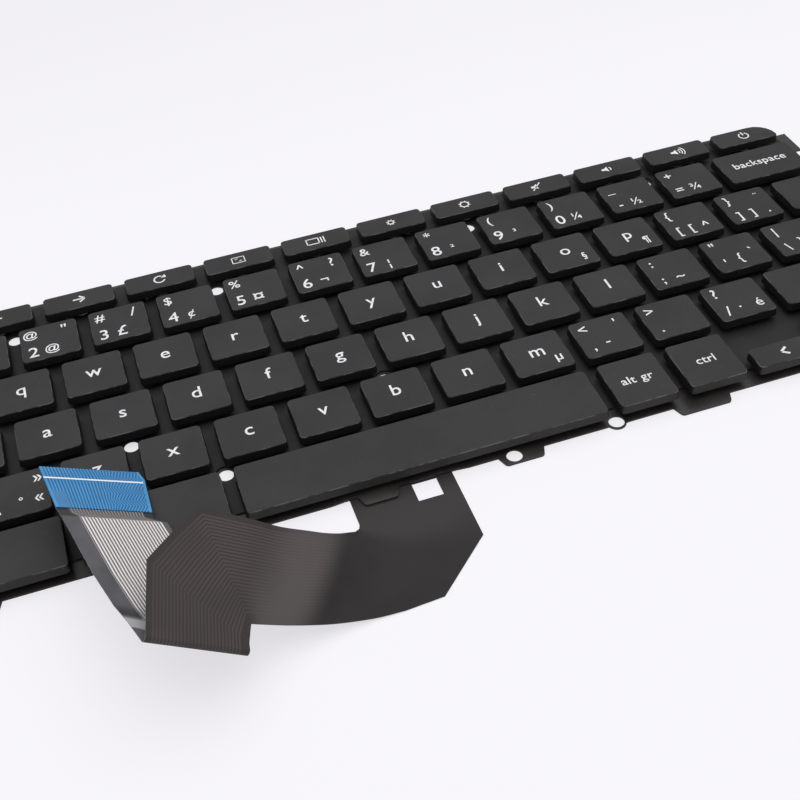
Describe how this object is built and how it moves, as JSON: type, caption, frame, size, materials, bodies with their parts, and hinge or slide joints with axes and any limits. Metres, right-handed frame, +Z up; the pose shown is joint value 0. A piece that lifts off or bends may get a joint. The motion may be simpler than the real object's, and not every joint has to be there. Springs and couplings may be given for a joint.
{
  "type": "laptop replacement keyboard",
  "caption": "Laptop keyboard module: low black scissor keys on a stamped plate, with a wide flat film tail folded back over the keys and stiffened at its end.",
  "frame": {"origin": "middle of the plate's underside, without its front tabs, front lug and side ear", "axes": "+X along the key rows towards the backspace key, +Y from the space bar to the function row, +Z up through the key tops"},
  "size_m": [0.2823, 0.1476, 0.0277],
  "materials": {
    "key_black": "fine matt",
    "plate_paint": "black coat, half matt",
    "film": "printed polyester film",
    "clear_film": "translucent polyester film",
    "stiffener_blue": "smooth",
    "dome_rubber": "milky silicone",
    "scissor_plastic": "moulded",
    "bar_steel": "drawn wire"
  },
  "bodies": {
    "keyboard_base": {"base_plate": "plate_paint", "lower_circuit_film": "film", "spacer_film": "clear_film", "upper_circuit_film": "film", "membrane_tail": "film", "tail_stiffener": "stiffener_blue", "rubber_domes": "dome_rubber", "scissor_outer_frames": "scissor_plastic", "scissor_inner_frames": "scissor_plastic", "stabiliser_bars": "bar_steel", "border_keycaps": "key_black"},
    "key_3": {"key_3": "key_black"},
    "key_4": {"key_4": "key_black"},
    "key_5": {"key_5": "key_black"},
    "key_6": {"key_6": "key_black"},
    "key_7": {"key_7": "key_black"},
    "key_8": {"key_8": "key_black"},
    "key_9": {"key_9": "key_black"},
    "key_0": {"key_0": "key_black"},
    "key_minus": {"key_minus": "key_black"},
    "key_equals": {"key_equals": "key_black"},
    "key_backspace": {"key_backspace": "key_black"},
    "key_q": {"key_q": "key_black"},
    "key_w": {"key_w": "key_black"},
    "key_e": {"key_e": "key_black"},
    "key_r": {"key_r": "key_black"},
    "key_t": {"key_t": "key_black"},
    "key_y": {"key_y": "key_black"},
    "key_u": {"key_u": "key_black"},
    "key_i": {"key_i": "key_black"},
    "key_o": {"key_o": "key_black"},
    "key_p": {"key_p": "key_black"},
    "key_left_bracket": {"key_left_bracket": "key_black"},
    "key_right_bracket": {"key_right_bracket": "key_black"},
    "key_a": {"key_a": "key_black"},
    "key_s": {"key_s": "key_black"},
    "key_d": {"key_d": "key_black"},
    "key_f": {"key_f": "key_black"},
    "key_g": {"key_g": "key_black"},
    "key_h": {"key_h": "key_black"},
    "key_j": {"key_j": "key_black"},
    "key_k": {"key_k": "key_black"},
    "key_l": {"key_l": "key_black"},
    "key_semicolon": {"key_semicolon": "key_black"},
    "key_quote": {"key_quote": "key_black"},
    "key_z": {"key_z": "key_black"},
    "key_x": {"key_x": "key_black"},
    "key_c": {"key_c": "key_black"},
    "key_v": {"key_v": "key_black"},
    "key_b": {"key_b": "key_black"},
    "key_n": {"key_n": "key_black"},
    "key_m": {"key_m": "key_black"},
    "key_comma": {"key_comma": "key_black"},
    "key_full_stop": {"key_full_stop": "key_black"},
    "key_slash": {"key_slash": "key_black"},
    "key_space_bar": {"key_space_bar": "key_black"},
    "key_alt_gr": {"key_alt_gr": "key_black"},
    "key_right_ctrl": {"key_right_ctrl": "key_black"},
    "alt_gr_inner_frame": {"alt_gr_inner_frame": "scissor_plastic"},
    "alt_gr_outer_frame": {"alt_gr_outer_frame": "scissor_plastic"}
  },
  "joints": [
    {"name": "key_3_press", "type": "slide", "parent": "keyboard_base", "child": "key_3", "axis": [0, 0, 1], "range_m": [-0.0015, 0], "stiffness_N_per_m": 200, "springref_m": 0.00006, "deforming": ["rubber_domes", "scissor_outer_frames", "scissor_inner_frames", "stabiliser_bars"]},
    {"name": "key_4_press", "type": "slide", "parent": "keyboard_base", "child": "key_4", "axis": [0, 0, 1], "range_m": [-0.0015, 0], "stiffness_N_per_m": 200, "springref_m": 0.00006, "deforming": ["rubber_domes", "scissor_outer_frames", "scissor_inner_frames", "stabiliser_bars"]},
    {"name": "key_5_press", "type": "slide", "parent": "keyboard_base", "child": "key_5", "axis": [0, 0, 1], "range_m": [-0.0015, 0], "stiffness_N_per_m": 200, "springref_m": 0.00006, "deforming": ["rubber_domes", "scissor_outer_frames", "scissor_inner_frames", "stabiliser_bars"]},
    {"name": "key_6_press", "type": "slide", "parent": "keyboard_base", "child": "key_6", "axis": [0, 0, 1], "range_m": [-0.0015, 0], "stiffness_N_per_m": 200, "springref_m": 0.00006, "deforming": ["rubber_domes", "scissor_outer_frames", "scissor_inner_frames", "stabiliser_bars"]},
    {"name": "key_7_press", "type": "slide", "parent": "keyboard_base", "child": "key_7", "axis": [0, 0, 1], "range_m": [-0.0015, 0], "stiffness_N_per_m": 200, "springref_m": 0.00006, "deforming": ["rubber_domes", "scissor_outer_frames", "scissor_inner_frames", "stabiliser_bars"]},
    {"name": "key_8_press", "type": "slide", "parent": "keyboard_base", "child": "key_8", "axis": [0, 0, 1], "range_m": [-0.0015, 0], "stiffness_N_per_m": 200, "springref_m": 0.00006, "deforming": ["rubber_domes", "scissor_outer_frames", "scissor_inner_frames", "stabiliser_bars"]},
    {"name": "key_9_press", "type": "slide", "parent": "keyboard_base", "child": "key_9", "axis": [0, 0, 1], "range_m": [-0.0015, 0], "stiffness_N_per_m": 200, "springref_m": 0.00006, "deforming": ["rubber_domes", "scissor_outer_frames", "scissor_inner_frames", "stabiliser_bars"]},
    {"name": "key_0_press", "type": "slide", "parent": "keyboard_base", "child": "key_0", "axis": [0, 0, 1], "range_m": [-0.0015, 0], "stiffness_N_per_m": 200, "springref_m": 0.00006, "deforming": ["rubber_domes", "scissor_outer_frames", "scissor_inner_frames", "stabiliser_bars"]},
    {"name": "key_minus_press", "type": "slide", "parent": "keyboard_base", "child": "key_minus", "axis": [0, 0, 1], "range_m": [-0.0015, 0], "stiffness_N_per_m": 200, "springref_m": 0.00006, "deforming": ["rubber_domes", "scissor_outer_frames", "scissor_inner_frames", "stabiliser_bars"]},
    {"name": "key_equals_press", "type": "slide", "parent": "keyboard_base", "child": "key_equals", "axis": [0, 0, 1], "range_m": [-0.0015, 0], "stiffness_N_per_m": 200, "springref_m": 0.00006, "deforming": ["rubber_domes", "scissor_outer_frames", "scissor_inner_frames", "stabiliser_bars"]},
    {"name": "key_backspace_press", "type": "slide", "parent": "keyboard_base", "child": "key_backspace", "axis": [0, 0, 1], "range_m": [-0.0015, 0], "stiffness_N_per_m": 200, "springref_m": 0.00006, "deforming": ["rubber_domes", "scissor_outer_frames", "scissor_inner_frames", "stabiliser_bars"]},
    {"name": "key_q_press", "type": "slide", "parent": "keyboard_base", "child": "key_q", "axis": [0, 0, 1], "range_m": [-0.0015, 0], "stiffness_N_per_m": 200, "springref_m": 0.00006, "deforming": ["rubber_domes", "scissor_outer_frames", "scissor_inner_frames", "stabiliser_bars"]},
    {"name": "key_w_press", "type": "slide", "parent": "keyboard_base", "child": "key_w", "axis": [0, 0, 1], "range_m": [-0.0015, 0], "stiffness_N_per_m": 200, "springref_m": 0.00006, "deforming": ["rubber_domes", "scissor_outer_frames", "scissor_inner_frames", "stabiliser_bars"]},
    {"name": "key_e_press", "type": "slide", "parent": "keyboard_base", "child": "key_e", "axis": [0, 0, 1], "range_m": [-0.0015, 0], "stiffness_N_per_m": 200, "springref_m": 0.00006, "deforming": ["rubber_domes", "scissor_outer_frames", "scissor_inner_frames", "stabiliser_bars"]},
    {"name": "key_r_press", "type": "slide", "parent": "keyboard_base", "child": "key_r", "axis": [0, 0, 1], "range_m": [-0.0015, 0], "stiffness_N_per_m": 200, "springref_m": 0.00006, "deforming": ["rubber_domes", "scissor_outer_frames", "scissor_inner_frames", "stabiliser_bars"]},
    {"name": "key_t_press", "type": "slide", "parent": "keyboard_base", "child": "key_t", "axis": [0, 0, 1], "range_m": [-0.0015, 0], "stiffness_N_per_m": 200, "springref_m": 0.00006, "deforming": ["rubber_domes", "scissor_outer_frames", "scissor_inner_frames", "stabiliser_bars"]},
    {"name": "key_y_press", "type": "slide", "parent": "keyboard_base", "child": "key_y", "axis": [0, 0, 1], "range_m": [-0.0015, 0], "stiffness_N_per_m": 200, "springref_m": 0.00006, "deforming": ["rubber_domes", "scissor_outer_frames", "scissor_inner_frames", "stabiliser_bars"]},
    {"name": "key_u_press", "type": "slide", "parent": "keyboard_base", "child": "key_u", "axis": [0, 0, 1], "range_m": [-0.0015, 0], "stiffness_N_per_m": 200, "springref_m": 0.00006, "deforming": ["rubber_domes", "scissor_outer_frames", "scissor_inner_frames", "stabiliser_bars"]},
    {"name": "key_i_press", "type": "slide", "parent": "keyboard_base", "child": "key_i", "axis": [0, 0, 1], "range_m": [-0.0015, 0], "stiffness_N_per_m": 200, "springref_m": 0.00006, "deforming": ["rubber_domes", "scissor_outer_frames", "scissor_inner_frames", "stabiliser_bars"]},
    {"name": "key_o_press", "type": "slide", "parent": "keyboard_base", "child": "key_o", "axis": [0, 0, 1], "range_m": [-0.0015, 0], "stiffness_N_per_m": 200, "springref_m": 0.00006, "deforming": ["rubber_domes", "scissor_outer_frames", "scissor_inner_frames", "stabiliser_bars"]},
    {"name": "key_p_press", "type": "slide", "parent": "keyboard_base", "child": "key_p", "axis": [0, 0, 1], "range_m": [-0.0015, 0], "stiffness_N_per_m": 200, "springref_m": 0.00006, "deforming": ["rubber_domes", "scissor_outer_frames", "scissor_inner_frames", "stabiliser_bars"]},
    {"name": "key_left_bracket_press", "type": "slide", "parent": "keyboard_base", "child": "key_left_bracket", "axis": [0, 0, 1], "range_m": [-0.0015, 0], "stiffness_N_per_m": 200, "springref_m": 0.00006, "deforming": ["rubber_domes", "scissor_outer_frames", "scissor_inner_frames", "stabiliser_bars"]},
    {"name": "key_right_bracket_press", "type": "slide", "parent": "keyboard_base", "child": "key_right_bracket", "axis": [0, 0, 1], "range_m": [-0.0015, 0], "stiffness_N_per_m": 200, "springref_m": 0.00006, "deforming": ["rubber_domes", "scissor_outer_frames", "scissor_inner_frames", "stabiliser_bars"]},
    {"name": "key_a_press", "type": "slide", "parent": "keyboard_base", "child": "key_a", "axis": [0, 0, 1], "range_m": [-0.0015, 0], "stiffness_N_per_m": 200, "springref_m": 0.00006, "deforming": ["rubber_domes", "scissor_outer_frames", "scissor_inner_frames", "stabiliser_bars"]},
    {"name": "key_s_press", "type": "slide", "parent": "keyboard_base", "child": "key_s", "axis": [0, 0, 1], "range_m": [-0.0015, 0], "stiffness_N_per_m": 200, "springref_m": 0.00006, "deforming": ["rubber_domes", "scissor_outer_frames", "scissor_inner_frames", "stabiliser_bars"]},
    {"name": "key_d_press", "type": "slide", "parent": "keyboard_base", "child": "key_d", "axis": [0, 0, 1], "range_m": [-0.0015, 0], "stiffness_N_per_m": 200, "springref_m": 0.00006, "deforming": ["rubber_domes", "scissor_outer_frames", "scissor_inner_frames", "stabiliser_bars"]},
    {"name": "key_f_press", "type": "slide", "parent": "keyboard_base", "child": "key_f", "axis": [0, 0, 1], "range_m": [-0.0015, 0], "stiffness_N_per_m": 200, "springref_m": 0.00006, "deforming": ["rubber_domes", "scissor_outer_frames", "scissor_inner_frames", "stabiliser_bars"]},
    {"name": "key_g_press", "type": "slide", "parent": "keyboard_base", "child": "key_g", "axis": [0, 0, 1], "range_m": [-0.0015, 0], "stiffness_N_per_m": 200, "springref_m": 0.00006, "deforming": ["rubber_domes", "scissor_outer_frames", "scissor_inner_frames", "stabiliser_bars"]},
    {"name": "key_h_press", "type": "slide", "parent": "keyboard_base", "child": "key_h", "axis": [0, 0, 1], "range_m": [-0.0015, 0], "stiffness_N_per_m": 200, "springref_m": 0.00006, "deforming": ["rubber_domes", "scissor_outer_frames", "scissor_inner_frames", "stabiliser_bars"]},
    {"name": "key_j_press", "type": "slide", "parent": "keyboard_base", "child": "key_j", "axis": [0, 0, 1], "range_m": [-0.0015, 0], "stiffness_N_per_m": 200, "springref_m": 0.00006, "deforming": ["rubber_domes", "scissor_outer_frames", "scissor_inner_frames", "stabiliser_bars"]},
    {"name": "key_k_press", "type": "slide", "parent": "keyboard_base", "child": "key_k", "axis": [0, 0, 1], "range_m": [-0.0015, 0], "stiffness_N_per_m": 200, "springref_m": 0.00006, "deforming": ["rubber_domes", "scissor_outer_frames", "scissor_inner_frames", "stabiliser_bars"]},
    {"name": "key_l_press", "type": "slide", "parent": "keyboard_base", "child": "key_l", "axis": [0, 0, 1], "range_m": [-0.0015, 0], "stiffness_N_per_m": 200, "springref_m": 0.00006, "deforming": ["rubber_domes", "scissor_outer_frames", "scissor_inner_frames", "stabiliser_bars"]},
    {"name": "key_semicolon_press", "type": "slide", "parent": "keyboard_base", "child": "key_semicolon", "axis": [0, 0, 1], "range_m": [-0.0015, 0], "stiffness_N_per_m": 200, "springref_m": 0.00006, "deforming": ["rubber_domes", "scissor_outer_frames", "scissor_inner_frames", "stabiliser_bars"]},
    {"name": "key_quote_press", "type": "slide", "parent": "keyboard_base", "child": "key_quote", "axis": [0, 0, 1], "range_m": [-0.0015, 0], "stiffness_N_per_m": 200, "springref_m": 0.00006, "deforming": ["rubber_domes", "scissor_outer_frames", "scissor_inner_frames", "stabiliser_bars"]},
    {"name": "key_z_press", "type": "slide", "parent": "keyboard_base", "child": "key_z", "axis": [0, 0, 1], "range_m": [-0.0015, 0], "stiffness_N_per_m": 200, "springref_m": 0.00006, "deforming": ["rubber_domes", "scissor_outer_frames", "scissor_inner_frames", "stabiliser_bars"]},
    {"name": "key_x_press", "type": "slide", "parent": "keyboard_base", "child": "key_x", "axis": [0, 0, 1], "range_m": [-0.0015, 0], "stiffness_N_per_m": 200, "springref_m": 0.00006, "deforming": ["rubber_domes", "scissor_outer_frames", "scissor_inner_frames", "stabiliser_bars"]},
    {"name": "key_c_press", "type": "slide", "parent": "keyboard_base", "child": "key_c", "axis": [0, 0, 1], "range_m": [-0.0015, 0], "stiffness_N_per_m": 200, "springref_m": 0.00006, "deforming": ["rubber_domes", "scissor_outer_frames", "scissor_inner_frames", "stabiliser_bars"]},
    {"name": "key_v_press", "type": "slide", "parent": "keyboard_base", "child": "key_v", "axis": [0, 0, 1], "range_m": [-0.0015, 0], "stiffness_N_per_m": 200, "springref_m": 0.00006, "deforming": ["rubber_domes", "scissor_outer_frames", "scissor_inner_frames", "stabiliser_bars"]},
    {"name": "key_b_press", "type": "slide", "parent": "keyboard_base", "child": "key_b", "axis": [0, 0, 1], "range_m": [-0.0015, 0], "stiffness_N_per_m": 200, "springref_m": 0.00006, "deforming": ["rubber_domes", "scissor_outer_frames", "scissor_inner_frames", "stabiliser_bars"]},
    {"name": "key_n_press", "type": "slide", "parent": "keyboard_base", "child": "key_n", "axis": [0, 0, 1], "range_m": [-0.0015, 0], "stiffness_N_per_m": 200, "springref_m": 0.00006, "deforming": ["rubber_domes", "scissor_outer_frames", "scissor_inner_frames", "stabiliser_bars"]},
    {"name": "key_m_press", "type": "slide", "parent": "keyboard_base", "child": "key_m", "axis": [0, 0, 1], "range_m": [-0.0015, 0], "stiffness_N_per_m": 200, "springref_m": 0.00006, "deforming": ["rubber_domes", "scissor_outer_frames", "scissor_inner_frames", "stabiliser_bars"]},
    {"name": "key_comma_press", "type": "slide", "parent": "keyboard_base", "child": "key_comma", "axis": [0, 0, 1], "range_m": [-0.0015, 0], "stiffness_N_per_m": 200, "springref_m": 0.00006, "deforming": ["rubber_domes", "scissor_outer_frames", "scissor_inner_frames", "stabiliser_bars"]},
    {"name": "key_full_stop_press", "type": "slide", "parent": "keyboard_base", "child": "key_full_stop", "axis": [0, 0, 1], "range_m": [-0.0015, 0], "stiffness_N_per_m": 200, "springref_m": 0.00006, "deforming": ["rubber_domes", "scissor_outer_frames", "scissor_inner_frames", "stabiliser_bars"]},
    {"name": "key_slash_press", "type": "slide", "parent": "keyboard_base", "child": "key_slash", "axis": [0, 0, 1], "range_m": [-0.0015, 0], "stiffness_N_per_m": 200, "springref_m": 0.00006, "deforming": ["rubber_domes", "scissor_outer_frames", "scissor_inner_frames", "stabiliser_bars"]},
    {"name": "key_space_bar_press", "type": "slide", "parent": "keyboard_base", "child": "key_space_bar", "axis": [0, 0, 1], "range_m": [-0.0015, 0], "stiffness_N_per_m": 200, "springref_m": 0.00006, "deforming": ["rubber_domes", "scissor_outer_frames", "scissor_inner_frames", "stabiliser_bars"]},
    {"name": "key_alt_gr_press", "type": "slide", "parent": "keyboard_base", "child": "key_alt_gr", "axis": [0, 0, 1], "range_m": [-0.0015, 0], "stiffness_N_per_m": 200, "springref_m": 0.00006, "deforming": ["rubber_domes", "scissor_outer_frames", "scissor_inner_frames", "stabiliser_bars"]},
    {"name": "key_right_ctrl_press", "type": "slide", "parent": "keyboard_base", "child": "key_right_ctrl", "axis": [0, 0, 1], "range_m": [-0.0015, 0], "stiffness_N_per_m": 200, "springref_m": 0.00006, "deforming": ["rubber_domes", "scissor_outer_frames", "scissor_inner_frames", "stabiliser_bars"]},
    {"name": "alt_gr_inner_hinge", "type": "hinge", "parent": "keyboard_base", "child": "alt_gr_inner_frame", "pos_m": [0.04759, -0.04065, 0.0015], "axis": [1, 0, 0], "range_deg": [-1.5, 14.51]},
    {"name": "alt_gr_outer_hinge", "type": "hinge", "parent": "alt_gr_inner_frame", "child": "alt_gr_outer_frame", "pos_m": [0.04759, -0.044, 0.0025], "axis": [1, 0, 0], "range_deg": [-24.55, 2.5]}
  ],
  "couplings": [
    {"joint": "alt_gr_inner_hinge", "follows": "key_alt_gr_press", "rad_per_m": -145.51},
    {"joint": "alt_gr_outer_hinge", "follows": "key_alt_gr_press", "rad_per_m": 250.68}
  ]
}
